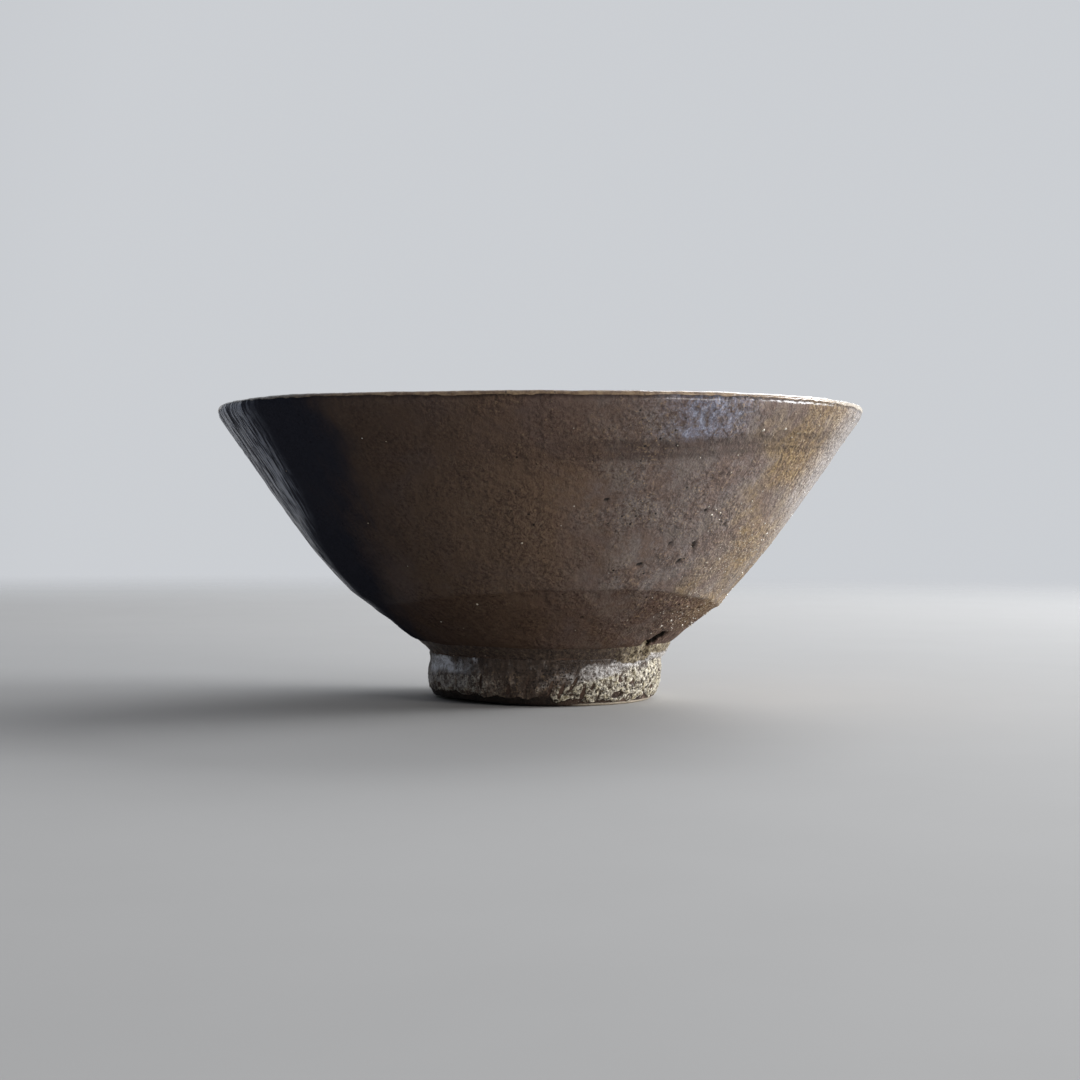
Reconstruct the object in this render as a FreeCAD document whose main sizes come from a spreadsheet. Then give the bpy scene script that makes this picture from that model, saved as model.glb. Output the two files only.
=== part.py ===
import FreeCAD, Part
import math
import os
import Sketcher

# A stoneware tea bowl, in millimetres. Z is the bowl's axis and Z = 0 is the table.
#
# A potter makes it from these pieces, which the kiln then joins:
#   bowl_wall     the thrown wall, lip and floor, in one piece of clay
#   foot_ring     a ring of the same clay, set a little off the bowl's axis
#   joint_slip    the thin layer of liquid clay between the two
#   luting_coil   a soft coil pressed into the corner around the joint
#   outer_glaze, lip_glaze, inner_glaze
#                 one dipped coat, in the three stretches where it melts differently
#   foot_glaze    the coat on the foot, which crawled apart into separate islands
#   stone_grains  grains of feldspar that stand out of the outer glaze

DIMENSIONS = [
    # alias, value, meaning
    ("seat_radius", 28.2, "edge of the flat underside that the foot is joined to"),
    ("seat_height", 12.4, "height of that underside"),
    ("nub_radius", 6.5, "trimming nub in the middle of the underside"),
    ("nub_height", 11.3, "height of the nub's tip"),
    ("trim_radius", 42.3, "wall outside, at the line down to which it was left as thrown"),
    ("trim_height", 23.3, "height of the trimming line"),
    ("flare_radius", 57.6, "wall outside, where the belly turns into the straight flare"),
    ("flare_height", 41.3, "height of that turn"),
    ("lip_radius", 74.75, "wall outside, where the lip starts to round over"),
    ("lip_height", 65.9, "height of that point"),
    ("lip_rounding", 1.2, "radius of the lip's section"),
    ("hollow_radius", 49.3, "wall inside, where the flare turns into the hollow"),
    ("hollow_height", 37.0, "height of that turn"),
    ("shoulder_radius", 15.0, "shoulder around the tea pool"),
    ("shoulder_height", 18.6, "height of the shoulder"),
    ("pool_radius", 13.0, "edge of the tea pool's floor"),
    ("pool_height", 17.7, "height of the tea pool's floor"),
    ("trim_softening", 6.0, "fillet where the trimmed cone meets the belly"),
    ("seat_softening", 0.6, "fillet at the edge of the underside"),
    ("pool_softening", 1.2, "fillets at the tea pool's shoulder and floor"),
    ("foot_offset", 1.2, "foot's axis from the bowl's axis, along X"),
    ("foot_height", 12.0, "height of the foot ring"),
    ("foot_top_radius", 26.6, "foot outside, at its top"),
    ("foot_waist_radius", 26.9, "foot outside, at its waist"),
    ("foot_waist_height", 9.8, "height of the waist"),
    ("foot_toe_radius", 26.3, "foot outside, at its toe"),
    ("foot_toe_height", 1.0, "height of the toe"),
    ("foot_swell", 11.3, "radius of the foot's swelling side, in section"),
    ("foot_toe_rounding", 1.2, "radius of the toe, in section"),
    ("foot_rest_outer", 25.5, "outside of the flat that stands on the table"),
    ("foot_rest_inner", 22.0, "inside of that flat"),
    ("foot_heel_radius", 21.6, "foot inside, at the toe's height"),
    ("foot_bore_radius", 20.2, "foot inside, at its top"),
    ("coil_ring_radius", 26.9, "luting coil's middle line"),
    ("coil_height", 11.2, "height of that line"),
    ("coil_rounding", 1.5, "radius of the coil's section"),
    ("coat_thickness", 0.5, "dipped coat"),
    ("coat_line", 14.2, "height where the outer coat was wiped back"),
    ("lip_line", 66.4, "height where the coat turns pale over the lip"),
    ("parting_low_radius", 26.0, "surface inside the wall that parts the coats, at the coat line"),
    ("parting_mid_radius", 51.0, "the same, halfway up"),
    ("parting_mid_height", 36.0, "height of that place"),
    ("parting_top_radius", 73.5, "the same, at the lip line"),
    ("foot_coat_thickness", 0.45, "crawled coat on the foot"),
    ("foot_coat_low", 1.3, "height where the foot's coat starts"),
    ("foot_coat_high", 9.4, "height where it ends"),
    ("crawl_gap", 1.5, "mean width of the gaps between its islands"),
    ("grain_radius", 0.42, "feldspar grain"),
    ("outer_reach", 90.0, "radius beyond everything, for the solids that split the coat"),
    ("foot_reach", 24.0, "radius inside the foot's clay, for those that split its coat"),
]
UPRIGHT_GAPS = 19
UPRIGHT_SPAN, UPRIGHT_LEAN = 24.0, 16.0
LEVEL_GAPS = 9
LEVEL_SPAN, LEVEL_LEAN = 8.0, 12.0
GAP_HEIGHT, GAP_RISE = 5.0, 1.5
GRAINS = 36
GRAIN_LOWEST, GRAIN_HIGHEST = 18.0, 63.0
GOLDEN_ANGLE = 180.0 * (3.0 - math.sqrt(5.0))


def make_sheet(doc):
    """The driving dimensions, one row each: the meaning, and the value under its alias."""
    sheet = doc.addObject("Spreadsheet::Sheet", "Dimensions")
    for row, (alias, value, meaning) in enumerate(DIMENSIONS, start=1):
        sheet.set(f"A{row}", meaning)
        sheet.set(f"B{row}", str(value))
        sheet.setAlias(f"B{row}", alias)
    doc.recompute()
    return sheet


def size(doc, alias):
    """A driving dimension's value, for what an expression can't hold."""
    return float(doc.getObject("Dimensions").get(alias))


def bind(item, **sizes):
    """Binds properties of an object to expressions. A dot in a name is written as two lines."""
    for name, expression in sizes.items():
        item.setExpression(name.replace("__", "."), expression)
    return item


class Outline:
    """A closed outline on a body's XZ plane: lines and arcs whose places come from the sheet."""

    def __init__(self, body, name, corners):
        """corners are (radius, height) pairs of aliases, None for zero, or a plain rough point."""
        self.sketch = body.newObject("Sketcher::SketchObject", name)
        plane = next(o for o in body.Origin.OriginFeatures if o.Role == "XZ_Plane")
        self.sketch.AttachmentSupport = [(plane, "")]
        self.sketch.MapMode = "FlatFace"
        self.corners = corners
        self.points = [FreeCAD.Vector(self.rough(r), self.rough(z), 0) for r, z in corners]
        self.ends = []

    def rough(self, place):
        if place is None:
            return 0.0
        return size(self.sketch.Document, place) if isinstance(place, str) else place

    def after(self, i):
        return (i + 1) % len(self.points)

    def draw(self, bulges, smooth=()):
        """bulges gives an arc's rough sagitta by edge. smooth lists edges that run on smoothly."""
        for i, start in enumerate(self.points):
            end = self.points[self.after(i)]
            edge = Part.LineSegment(start, end)
            if i in bulges:
                across = (end - start).cross(FreeCAD.Vector(0, 0, 1)).normalize()
                edge = Part.Arc(start, (start + end) / 2 + across * bulges[i], end)
            index = self.sketch.addGeometry(edge)
            forward = self.sketch.getPoint(index, 1).distanceToPoint(start) < 1e-6
            self.ends.append((1, 2) if forward else (2, 1))
        for i in range(len(self.points)):
            kind = "Tangent" if i in smooth else "Coincident"
            joint = (i, self.ends[i][1], self.after(i), self.ends[self.after(i)][0])
            self.sketch.addConstraint(Sketcher.Constraint(kind, *joint))
        for i, (radius, height) in enumerate(self.corners):
            self.place(i, "DistanceX", radius, -2)
            self.place(i, "DistanceY", height, -1)
        return self

    def place(self, i, kind, place, axis):
        """Puts the start of edge i on an axis, or at a dimension from the origin."""
        start = self.ends[i][0]
        if place is None:
            self.sketch.addConstraint(Sketcher.Constraint("PointOnObject", i, start, axis))
        elif isinstance(place, str):
            self.dimension(place, i, Sketcher.Constraint(kind, -1, 1, i, start, self.rough(place)))

    def dimension(self, alias, i, constraint):
        index = self.sketch.addConstraint(constraint)
        self.sketch.renameConstraint(index, f"{alias}_{i}")
        self.sketch.setExpression(f"Constraints.{alias}_{i}", f"Dimensions.{alias}")

    def radius(self, i, alias):
        self.dimension(alias, i, Sketcher.Constraint("Radius", i, self.rough(alias)))
        return self

    def turn(self, name):
        """Revolves the outline about the body's own axis."""
        body = self.sketch.getParentGeoFeatureGroup()
        feature = body.newObject("PartDesign::Revolution", name)
        feature.Profile = self.sketch
        feature.ReferenceAxis = (self.sketch, ["V_Axis"])
        feature.Angle = 360
        body.Document.recompute()
        return feature


def soften(body, name, rounding, *circles):
    """Fillets the body's circular edges that lie at these (radius, height) pairs of aliases."""
    places = [(size(body.Document, r), size(body.Document, z)) for r, z in circles]
    base = body.Tip
    edges = []
    for i, edge in enumerate(base.Shape.Edges, start=1):
        if isinstance(edge.Curve, Part.Circle):
            found = (edge.Curve.Radius, edge.Curve.Center.z)
            if any(math.dist(found, place) < 0.01 for place in places):
                edges.append(f"Edge{i}")
    fillet = body.newObject("PartDesign::Fillet", name)
    fillet.Base = (base, edges)
    bind(fillet, Radius=f"Dimensions.{rounding}")
    body.Document.recompute()


def make_bowl_wall(doc):
    """The thrown wall with its lip, hollow and tea pool, and the underside trimmed flat."""
    body = doc.addObject("PartDesign::Body", "bowl_wall")
    rough_lip_inside = (72.8, 67.3)
    wall = Outline(
        body,
        "wall_outline",
        [
            (None, "seat_height"),
            ("seat_radius", "seat_height"),
            ("trim_radius", "trim_height"),
            ("flare_radius", "flare_height"),
            ("lip_radius", "lip_height"),
            rough_lip_inside,
            ("hollow_radius", "hollow_height"),
            ("shoulder_radius", "shoulder_height"),
            ("pool_radius", "pool_height"),
            (None, "pool_height"),
        ],
    )
    belly, flare, lip, inside, hollow = 2, 3, 4, 5, 6
    wall.draw({belly: 0.6, lip: 1.2, hollow: -4.1}, smooth=(belly, flare, lip, inside))
    wall.radius(lip, "lip_rounding")
    wall.turn("thrown_wall")
    nub = Outline(
        body,
        "nub_outline",
        [(None, "nub_height"), ("nub_radius", "seat_height"), (None, "seat_height")],
    )
    nub.draw({})
    nub.turn("trimming_nub")
    soften(body, "soft_trim_line", "trim_softening", ("trim_radius", "trim_height"))
    soften(body, "soft_seat_edge", "seat_softening", ("seat_radius", "seat_height"))
    soften(
        body,
        "soft_tea_pool",
        "pool_softening",
        ("shoulder_radius", "shoulder_height"),
        ("pool_radius", "pool_height"),
    )
    return body


def make_foot_ring(doc):
    """The foot: a waist under the joint, a swelling side, a rounded toe and a flat to stand on."""
    body = doc.addObject("PartDesign::Body", "foot_ring")
    foot = Outline(
        body,
        "foot_outline",
        [
            ("foot_rest_inner", None),
            ("foot_rest_outer", None),
            ("foot_toe_radius", "foot_toe_height"),
            ("foot_waist_radius", "foot_waist_height"),
            ("foot_top_radius", "foot_height"),
            ("foot_bore_radius", "foot_height"),
            ("foot_heel_radius", "foot_toe_height"),
        ],
    )
    toe, side = 1, 2
    foot.draw({toe: 0.2, side: 0.9})
    foot.radius(toe, "foot_toe_rounding").radius(side, "foot_swell")
    foot.turn("turned_foot")
    return bind(body, Placement__Base__x="Dimensions.foot_offset")


def cylinder(doc, name, radius, low, height, x="0"):
    """An upright cylinder, its radius, lower end, height and place along X given as expressions."""
    return bind(
        doc.addObject("Part::Cylinder", name),
        Radius=radius,
        Height=height,
        Placement__Base__x=x,
        Placement__Base__z=low,
    )


def combined(doc, kind, name, base, tool):
    """A boolean of two objects: kind is Part::Cut or Part::Common."""
    result = doc.addObject(kind, name)
    result.Base = base
    result.Tool = tool
    return result


def group_of(doc, kind, name, items):
    """One object out of many: kind is Part::MultiFuse or Part::Compound."""
    result = doc.addObject(kind, name)
    if kind == "Part::Compound":
        result.Links = items
    else:
        result.Shapes = items
    return result


def grown(doc, name, source, thickness):
    """The source's shape grown outwards by a coat's thickness."""
    form = doc.addObject("Part::Offset", name)
    form.Source = source
    bind(form, Value=f"Dimensions.{thickness}")
    doc.recompute()
    return form


def make_joint_slip(doc):
    """A flat washer of slip that fills the joint between the foot's top and the underside."""
    low = "Dimensions.foot_height"
    height = "Dimensions.seat_height - Dimensions.foot_height"
    x = "Dimensions.foot_offset"
    disc = cylinder(doc, "slip_disc", "Dimensions.foot_top_radius", low, height, x)
    bore = cylinder(doc, "slip_bore", "Dimensions.foot_bore_radius", low, height, x)
    return combined(doc, "Part::Cut", "joint_slip", disc, bore)


def make_luting_coil(doc, wall, foot, slip):
    """A round coil of clay, pressed into the corner and so cut to its neighbours' shape."""
    coil = bind(
        doc.addObject("Part::Torus", "round_coil"),
        Radius1="Dimensions.coil_ring_radius",
        Radius2="Dimensions.coil_rounding",
        Placement__Base__x="Dimensions.foot_offset",
        Placement__Base__z="Dimensions.coil_height",
    )
    neighbours = group_of(doc, "Part::MultiFuse", "coil_neighbours", [wall, foot, slip])
    return combined(doc, "Part::Cut", "luting_coil", coil, neighbours)


def make_parting_form(doc):
    """The solid whose side runs inside the wall, between the outer coat and the inner one."""
    body = doc.addObject("PartDesign::Body", "parting_form")
    outline = Outline(
        body,
        "parting_outline",
        [
            (None, "coat_line"),
            ("parting_low_radius", "coat_line"),
            ("parting_mid_radius", "parting_mid_height"),
            ("parting_top_radius", "lip_line"),
            (None, "lip_line"),
        ],
    )
    outline.draw({})
    outline.turn("parting_solid")
    return body


def make_stone_grains(doc, dipped):
    """Grains of feldspar, half sunk in the outer coat, spread along a golden-angle spiral."""
    reach = size(doc, "outer_reach")
    grains = []
    for i in range(GRAINS):
        height = GRAIN_LOWEST + (GRAIN_HIGHEST - GRAIN_LOWEST) * (i + 0.5) / GRAINS
        angle = math.radians(i * GOLDEN_ANGLE)
        middle = FreeCAD.Vector(0, 0, height)
        outwards = FreeCAD.Vector(math.cos(angle), math.sin(angle), 0)
        ray = Part.makeLine(middle, middle + outwards * reach)
        inside = dipped.Shape.common(ray)
        surface = max((v.Point - middle).Length for v in inside.Vertexes)
        grain = doc.addObject("Part::Sphere", f"grain_{i + 1}")
        bind(grain, Radius="Dimensions.grain_radius")
        grain.Placement.Base = middle + outwards * surface
        grains.append(grain)
    return group_of(doc, "Part::Compound", "stone_grains", grains)


def make_glazes(doc, wall):
    """The dipped coat, split at the lip line and inside the wall. Returns its nodes and grains."""
    dipped = grown(doc, "dipped_form", wall, "coat_thickness")
    coat = combined(doc, "Part::Cut", "whole_coat", dipped, wall)
    parting = make_parting_form(doc)
    reach = "Dimensions.outer_reach"
    belt_height = "Dimensions.lip_line - Dimensions.coat_line"
    belt = cylinder(doc, "belt", reach, "Dimensions.coat_line", belt_height)
    cap = cylinder(doc, "cap", reach, "Dimensions.lip_line", reach)
    inner = combined(doc, "Part::Common", "inner_glaze", coat, parting)
    lip = combined(doc, "Part::Common", "lip_glaze", coat, cap)
    around = combined(doc, "Part::Common", "coat_in_belt", coat, belt)
    outside = combined(doc, "Part::Cut", "coat_outside", around, parting)
    doc.recompute()
    grains = make_stone_grains(doc, dipped)
    outer = combined(doc, "Part::Cut", "outer_glaze", outside, grains)
    return [outer, lip, inner, grains]


def crawl_gap(doc, name, angle, lean, width, span, height):
    """A box that parts the foot's coat. It is width across and span long, upright at no lean."""
    box = bind(
        doc.addObject("Part::Box", name),
        Length="Dimensions.outer_reach",
        Width=f"Dimensions.crawl_gap * {width:.3f}",
    )
    box.Height = span
    turn = FreeCAD.Rotation(FreeCAD.Vector(0, 0, 1), angle)
    tip = FreeCAD.Rotation(FreeCAD.Vector(1, 0, 0), lean)
    corner = FreeCAD.Vector(0, -size(doc, "crawl_gap") * width / 2, -span / 2)
    start = FreeCAD.Vector(size(doc, "foot_reach"), 0, height) + tip.multVec(corner)
    axis = FreeCAD.Vector(size(doc, "foot_offset"), 0, 0)
    box.Placement = FreeCAD.Placement(turn.multVec(start) + axis, turn * tip)
    return box


def make_foot_glaze(doc, foot):
    """The coat on the foot's side, parted by upright gaps that lean and by some level ones."""
    dipped = grown(doc, "dipped_foot", foot, "foot_coat_thickness")
    coat = combined(doc, "Part::Cut", "foot_coat", dipped, foot)
    low = "Dimensions.foot_coat_low"
    height = "Dimensions.foot_coat_high - Dimensions.foot_coat_low"
    x = "Dimensions.foot_offset"
    disc = cylinder(doc, "coat_disc", "Dimensions.outer_reach", low, height, x)
    bore = cylinder(doc, "coat_bore", "Dimensions.foot_reach", low, height, x)
    side = combined(doc, "Part::Cut", "coat_side", disc, bore)
    band = combined(doc, "Part::Common", "coat_band", coat, side)
    step = 360 / UPRIGHT_GAPS
    gaps = []
    for i in range(UPRIGHT_GAPS):
        angle = (i + 0.25 * math.sin(2.3 * i)) * step
        lean = UPRIGHT_LEAN * math.sin(4.1 * i)
        width = 1 + 0.4 * math.cos(1.7 * i)
        name = f"upright_gap_{i + 1}"
        gaps.append(crawl_gap(doc, name, angle, lean, width, UPRIGHT_SPAN, GAP_HEIGHT))
    for i in range(LEVEL_GAPS):
        angle = (2 * i + 0.5) * step
        lean = 90 + LEVEL_LEAN * math.sin(3.1 * i)
        height = GAP_HEIGHT + GAP_RISE * math.sin(1.9 * i)
        name = f"level_gap_{i + 1}"
        gaps.append(crawl_gap(doc, name, angle, lean, 0.8, LEVEL_SPAN, height))
    cracks = group_of(doc, "Part::MultiFuse", "crawl_gaps", gaps)
    return combined(doc, "Part::Cut", "foot_glaze", band, cracks)


def check(doc, nodes):
    """Stops if any object failed or any piece has a bad shape."""
    for item in doc.Objects:
        if "Invalid" in item.State or "Error" in item.State:
            raise RuntimeError(f"{item.Label} failed: {item.State}")
    for node in nodes:
        if node.Shape.isNull() or not node.Shape.isValid() or not node.Shape.Solids:
            raise RuntimeError(f"{node.Label} has a bad shape")


def main():
    doc = FreeCAD.newDocument("tea_bowl")
    make_sheet(doc)
    wall = make_bowl_wall(doc)
    foot = make_foot_ring(doc)
    slip = make_joint_slip(doc)
    coil = make_luting_coil(doc, wall, foot, slip)
    nodes = [wall, foot, slip, coil, *make_glazes(doc, wall), make_foot_glaze(doc, foot)]
    doc.recompute()
    check(doc, nodes)
    os.makedirs("parts", exist_ok=True)
    for node in nodes:
        node.Shape.exportStep(f"parts/{node.Label}.step")
        box = node.Shape.BoundBox
        print(
            f"{node.Label}: {len(node.Shape.Solids)} solids, {node.Shape.Volume:.1f} mm3,"
            f" z {box.ZMin:.2f} to {box.ZMax:.2f}, x {box.XMin:.2f} to {box.XMax:.2f}"
        )


main()
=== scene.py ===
import itertools
import math
import bmesh
import bpy
import numpy as np
from mathutils import Euler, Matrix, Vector
from mathutils.bvhtree import BVHTree


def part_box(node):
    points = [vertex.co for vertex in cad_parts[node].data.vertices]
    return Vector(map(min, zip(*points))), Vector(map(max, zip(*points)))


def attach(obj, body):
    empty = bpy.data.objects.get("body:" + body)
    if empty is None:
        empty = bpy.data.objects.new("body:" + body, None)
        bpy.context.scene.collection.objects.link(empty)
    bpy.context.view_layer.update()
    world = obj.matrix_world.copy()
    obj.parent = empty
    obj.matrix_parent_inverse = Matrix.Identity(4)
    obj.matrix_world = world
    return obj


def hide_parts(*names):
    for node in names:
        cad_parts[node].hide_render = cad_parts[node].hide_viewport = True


# A stoneware tea bowl. Each glaze and clay piece is a closed shell, worked out from the CAD's own
# section, with the unevenness of thrown clay and run glaze in its mesh. Lengths are in millimetres
# until a mesh is made. Azimuths are in degrees from the front (-Y), growing towards +X.

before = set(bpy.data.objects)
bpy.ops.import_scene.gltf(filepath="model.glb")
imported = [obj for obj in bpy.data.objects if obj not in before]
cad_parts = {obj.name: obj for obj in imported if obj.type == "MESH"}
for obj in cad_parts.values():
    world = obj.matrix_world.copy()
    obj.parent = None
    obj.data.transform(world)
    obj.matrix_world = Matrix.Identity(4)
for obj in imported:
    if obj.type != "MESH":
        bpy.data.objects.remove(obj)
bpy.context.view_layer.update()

MM = 0.001
TURN = 2 * math.pi


# ---- sizes read from the CAD


def node_box(node):
    """A CAD node's lowest and highest corners, in millimetres."""
    low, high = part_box(node)
    return np.array(low) / MM, np.array(high) / MM


def side_points(node, heights, from_inside=False, x=0.0):
    """Points (radius, height) on a turned CAD node's side, from rays at several azimuths. x is where
    its axis stands."""
    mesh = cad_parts[node].data
    tree = BVHTree.FromPolygons([v.co for v in mesh.vertices], [p.vertices for p in mesh.polygons])
    middle = Vector((x, 0, 0)) * MM
    found = []
    for height in heights:
        hits = []
        for azimuth in np.linspace(0.1, TURN, 9, endpoint=False):
            out = Vector((math.cos(azimuth), math.sin(azimuth), 0))
            start = middle + out * (0.0 if from_inside else 0.2) + Vector((0, 0, height * MM))
            hit = tree.ray_cast(start, out if from_inside else -out)[0]
            if hit is not None:
                hits.append((hit - Vector((middle.x, middle.y, hit.z))).length / MM)
        found.append(np.median(hits))
    return np.stack([found, heights], -1)


RIM_RADIUS = node_box("lip_glaze")[1][0]
RIM_HEIGHT = node_box("lip_glaze")[1][2]
COAT_LOW = node_box("outer_glaze")[0][2]
POOL_HEIGHT = node_box("inner_glaze")[0][2] + 0.5
SEAT_HEIGHT = node_box("joint_slip")[1][2]
NUB_HEIGHT = node_box("bowl_wall")[0][2]
FOOT_LOW, FOOT_HIGH = node_box("foot_ring")
FOOT_X = (FOOT_LOW[0] + FOOT_HIGH[0]) / 2
FOOT_HEIGHT = FOOT_HIGH[2]


# ---- noise


PRIMES = [np.uint64(n) for n in (2654435761, 2246822519, 3266489917)]


def shuffled(h, seed):
    """A repeatable value from 0 to 1 for each whole number and seed."""
    h = (h ^ np.uint64(seed * 374761393 + 668265263)) * PRIMES[1]
    h = (h ^ (h >> np.uint64(15))) * PRIMES[2]
    h = h ^ (h >> np.uint64(29))
    return (h >> np.uint64(11) & np.uint64(0xFFFFF)).astype(float) / 0xFFFFF


def whole(values):
    return values.astype(np.int64).astype(np.uint64)


def noise(points, scale, seed):
    """Smooth noise from -1 to 1 at points, with features about scale wide. scale may be per axis."""
    q = points / np.asarray(scale, float) + 100.0
    cell = np.floor(q)
    f = q - cell
    f = f * f * f * (f * (f * 6 - 15) + 10)
    total = np.zeros(q.shape[:-1])
    keys = [[whole(cell[..., k] + bit) * PRIMES[k] for bit in (0, 1)] for k in range(3)]
    shares = [[1 - f[..., k], f[..., k]] for k in range(3)]
    for i, j, k in itertools.product((0, 1), repeat=3):
        weight = shares[0][i] * shares[1][j] * shares[2][k]
        total += weight * shuffled(keys[0][i] ^ keys[1][j] ^ keys[2][k], seed)
    return total * 2 - 1


def noises(points, *layers):
    """A sum of noises, each given as its height, scale and seed."""
    return sum(height * noise(points, scale, seed) for height, scale, seed in layers)


def cells(flat, size, seed, period):
    """Distances to the nearest and second nearest of scattered points on a band, in cell sizes."""
    count = max(1, round(period / size))
    q = np.stack([flat[..., 0] / period * count, flat[..., 1] / size], -1)
    cell = np.floor(q)
    near = np.full(q.shape[:-1], 9.0)
    second = near.copy()
    for du in (-1, 0, 1):
        for dv in (-1, 0, 1):
            other = cell + (du, dv)
            wrapped = np.stack([other[..., 0] % count, other[..., 1] + 50], -1)
            key = whole(wrapped[..., 0]) * PRIMES[0] ^ whole(wrapped[..., 1]) * PRIMES[1]
            jitter = np.stack([shuffled(key, seed), shuffled(key, seed + 1)], -1)
            distance = np.linalg.norm(other + jitter - q, axis=-1)
            second = np.minimum(second, np.maximum(near, distance))
            near = np.minimum(near, distance)
    return near, second


def smooth(x, low, high):
    """0 below low, 1 above high, and a smooth step between them."""
    t = np.clip((x - low) / (high - low), 0, 1)
    return t * t * (3 - 2 * t)


def fade(x, low, high):
    """1 below low, 0 above high, and a smooth step between them."""
    return 1 - smooth(x, low, high)


def bump(x, width):
    """A bell of height 1 around zero."""
    return np.exp(-((x / width) ** 2))


# ---- the bowl's section


LIP_OUTER_ROUNDING = 1.2
LIP_INNER_ROUNDING = 2.8
LIP_TILT = math.radians(14)
INSIDE_TILT = math.radians(37.8)


def lip_arc(radius, start, end):
    """Points on an arc with its top on the rim's crest. Angles are from the +r direction to +Z."""
    a = np.linspace(start, end, 30)
    crest = RIM_RADIUS - LIP_OUTER_ROUNDING
    return np.stack([crest + radius * np.cos(a), RIM_HEIGHT - radius + radius * np.sin(a)], -1)


def curve_points(start, control, end, count):
    """Points on a quadratic curve. Its three points may each be a row of points."""
    t = np.linspace(0, 1, count).reshape(-1, *[1] * np.ndim(start))
    return (1 - t) ** 2 * np.asarray(start) + 2 * t * (1 - t) * np.asarray(control) + t**2 * np.asarray(end)


def bowl_section():
    """The glazed surface from above the foot, out over the lip and in to the tea pool."""
    outside_z = np.linspace(COAT_LOW + 0.05, RIM_HEIGHT - 2.9, 80)
    outside = side_points("outer_glaze", outside_z)
    slope = (outside[3] - outside[0]) / (outside_z[3] - outside_z[0])
    turn_in = outside[0] - slope * (outside_z[0] - SEAT_HEIGHT - 0.5)
    below = curve_points(turn_in - (4, 0), turn_in, outside[0], 16)[:-1]
    lip_out = lip_arc(LIP_OUTER_ROUNDING, -LIP_TILT, math.pi / 2)
    lip_in = lip_arc(LIP_INNER_ROUNDING, math.pi / 2, math.pi - INSIDE_TILT)
    inside_z = np.linspace(RIM_HEIGHT - 4, POOL_HEIGHT + 0.6, 80)
    inside = side_points("inner_glaze", inside_z, from_inside=True)
    pool_edge = inside[-1][0]
    pool_r = np.linspace(pool_edge - 0.8, 0, 40)
    pool = np.stack([pool_r, POOL_HEIGHT + 0.25 * smooth(pool_r, pool_edge - 3, pool_edge)], -1)
    return np.concatenate([below, outside, lip_out, lip_in[1:], inside, pool])


def even(points, step):
    """The same line with evenly spaced points."""
    length = np.concatenate([[0], np.cumsum(np.linalg.norm(np.diff(points, axis=0), axis=1))])
    s = np.linspace(0, length[-1], int(length[-1] / step) + 1)
    return np.stack([np.interp(s, length, points[:, 0]), np.interp(s, length, points[:, 1])], -1), s


class Section:
    """A line in the (radius, height) plane that can be read at any arc length, with its normal."""

    def __init__(self, points, step=0.2, soften=3):
        line, _ = even(points, step)
        kernel = np.ones(2 * soften + 1) / (2 * soften + 1)
        padded = np.concatenate([line[:1]] * soften + [line] + [line[-1:]] * soften)
        line = np.stack([np.convolve(padded[:, k], kernel, "valid") for k in (0, 1)], -1)
        self.line, self.s = even(line, step)
        tangent = np.gradient(self.line, self.s, axis=0)
        tangent /= np.linalg.norm(tangent, axis=1)[:, None]
        self.normal = np.stack([tangent[:, 1], -tangent[:, 0]], -1)

    def read(self, s, columns):
        return [np.interp(s, self.s, columns[:, k]) for k in (0, 1)]

    def at(self, s):
        return self.read(s, self.line)

    def normal_at(self, s):
        return self.read(s, self.normal)

    def where(self, height):
        """The arc length at a height, on the way up from the lowest point."""
        low = int(np.argmin(self.line[:, 1]))
        high = low + int(np.argmax(self.line[low:, 1]))
        return np.interp(height, self.line[low : high + 1, 1], self.s[low : high + 1])


BOWL = Section(bowl_section())
BOWL_TOP = BOWL.s[int(np.argmax(BOWL.line[:, 1]))]


def wrapped(degrees):
    """The same angle, from -180 to 180."""
    return (degrees + 180) % 360 - 180


def front_azimuth(theta):
    """Degrees from the front, towards +X, for angles measured from +X towards +Y."""
    return wrapped(np.degrees(theta) + 90)


def polar(radius, theta, z, centre=(0, 0)):
    """Points at a radius, an angle from +X and a height."""
    x, y = centre
    return np.stack([x + radius * np.cos(theta), y + radius * np.sin(theta), z + 0 * theta], -1)


# ---- hand-made unevenness of the bowl


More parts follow.
